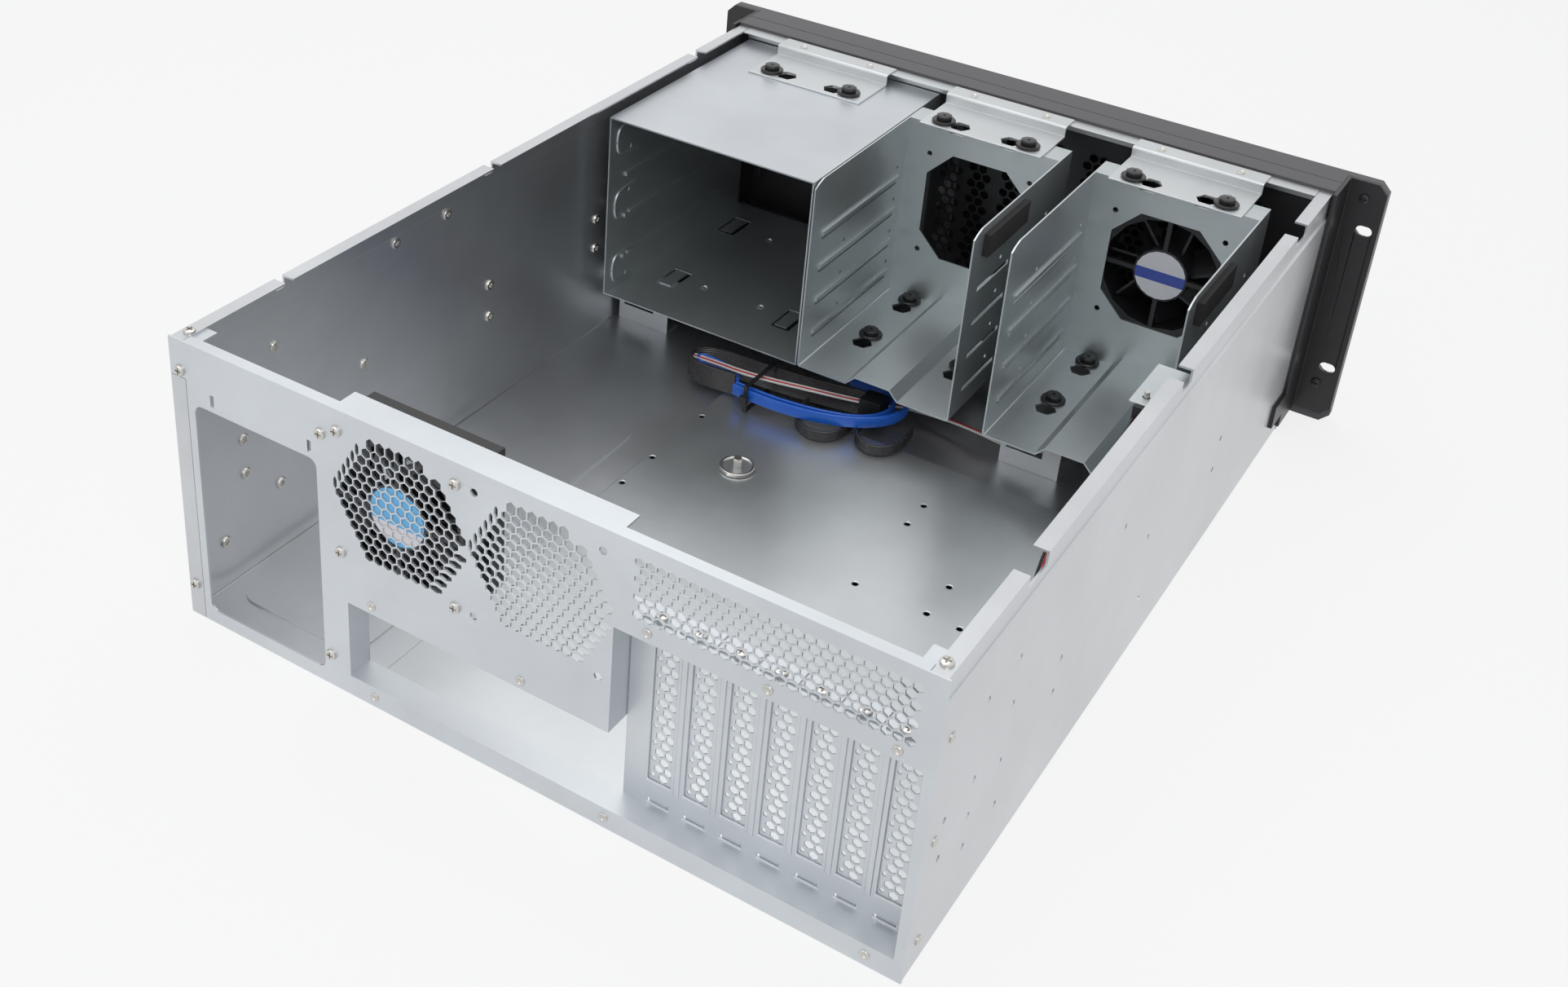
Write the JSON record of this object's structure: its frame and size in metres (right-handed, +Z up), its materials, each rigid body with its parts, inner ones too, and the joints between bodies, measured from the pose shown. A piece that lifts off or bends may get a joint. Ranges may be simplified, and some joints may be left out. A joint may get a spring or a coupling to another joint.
{
  "type": "rackmount server case",
  "caption": "Empty 4U rackmount server case with its lid off: folded steel tub, rear panel with fan grilles and slots, drive cages, fans, front bezel and rack ears.",
  "frame": {"origin": "middle of the bottom, halfway between the bezel's front and the rear screw heads", "axes": "X across the case, +Y from the front bezel to the rear panel, +Z up; the power supply opening is on the +X side"},
  "size_m": [0.4826, 0.5904, 0.176],
  "materials": {
    "tub_steel": "satin zinc-coated sheet",
    "panel_steel": "satin zinc-coated sheet",
    "tray_steel": "satin zinc-coated sheet",
    "slot_steel": "satin zinc-coated sheet",
    "cage_steel": "satin zinc-coated sheet",
    "front_steel": "satin zinc-coated sheet",
    "bracket_steel": "satin zinc-coated sheet",
    "fastener_steel": "bright plated",
    "plunger_steel": "bright",
    "standoff_brass": "plated",
    "bezel_plastic": "fine matte grain",
    "ear_paint": "black satin paint",
    "black_rubber": "soft sheen",
    "black_foam": "matte foam",
    "fan_plastic": "moulded",
    "blade_plastic": "moulded",
    "button_plastic": "moulded",
    "board_green": "solder mask",
    "ribbon_sleeve": "ribbed insulation",
    "data_sleeve": "glossy insulation",
    "wire_sleeve": "glossy insulation",
    "plug_plastic": "moulded"
  },
  "bodies": {
    "case": {"chassis_tub": "tub_steel", "rear_panel": "panel_steel", "motherboard_tray": "tray_steel", "slot_frame": "slot_steel", "slot_cover_1": "slot_steel", "slot_cover_2": "slot_steel", "slot_cover_3": "slot_steel", "slot_cover_4": "slot_steel", "slot_cover_5": "slot_steel", "slot_cover_6": "slot_steel", "slot_cover_7": "slot_steel", "drive_cage_525": "cage_steel", "hdd_cage_mid": "cage_steel", "hdd_cage_right": "cage_steel", "front_plate": "front_steel", "front_top_rail": "bracket_steel", "front_bezel": "bezel_plastic", "bay_cover_1": "bezel_plastic", "bay_cover_2": "bezel_plastic", "bay_cover_3": "bezel_plastic", "left_rack_ear": "ear_paint", "right_rack_ear": "ear_paint", "bay_cage_bracket": "bracket_steel", "mid_cage_bracket": "bracket_steel", "right_cage_bracket": "bracket_steel", "rubber_grommets": "black_rubber", "bay_floor_bracket": "cage_steel", "right_floor_bracket": "cage_steel", "mid_foam_pad": "black_foam", "right_foam_pad": "black_foam", "rear_fan_frame": "fan_plastic", "front_fan_frame": "fan_plastic", "switch_bracket": "bracket_steel", "switch_body": "plug_plastic", "front_board": "board_green", "tray_standoff": "standoff_brass", "rivets": "fastener_steel", "screws": "fastener_steel", "ear_screws": "ear_paint", "ribbon_cable": "ribbon_sleeve", "ribbon_fold": "ribbon_sleeve", "data_cable": "data_sleeve", "panel_wires": "wire_sleeve", "fan_lead": "wire_sleeve", "switch_lead": "wire_sleeve", "cable_plug": "plug_plastic", "cable_tie": "plug_plastic"},
    "rear_fan_wheel": {"rear_fan_impeller": "blade_plastic"},
    "front_fan_wheel": {"front_fan_impeller": "blade_plastic"},
    "power_key": {"power_button": "button_plastic"},
    "reset_key": {"reset_button": "button_plastic"},
    "lid_plunger": {"switch_plunger": "plunger_steel"}
  },
  "joints": [
    {"name": "rear_fan_spin", "type": "hinge", "parent": "case", "child": "rear_fan_wheel", "pos_m": [0.0695, 0.28, 0.126], "axis": [0, 1, 0], "continuous": true},
    {"name": "front_fan_spin", "type": "hinge", "parent": "case", "child": "front_fan_wheel", "pos_m": [-0.1324, -0.22, 0.11], "axis": [0, 1, 0], "continuous": true},
    {"name": "power_press", "type": "slide", "parent": "case", "child": "power_key", "axis": [0, 1, 0], "range_m": [0, 0.0015], "stiffness_N_per_m": 400, "springref_m": -0.0008},
    {"name": "reset_press", "type": "slide", "parent": "case", "child": "reset_key", "axis": [0, 1, 0], "range_m": [0, 0.0015], "stiffness_N_per_m": 400, "springref_m": -0.0008},
    {"name": "lid_switch_press", "type": "slide", "parent": "case", "child": "lid_plunger", "axis": [0, 0, -1], "range_m": [0, 0.003], "stiffness_N_per_m": 250, "springref_m": -0.001}
  ]
}
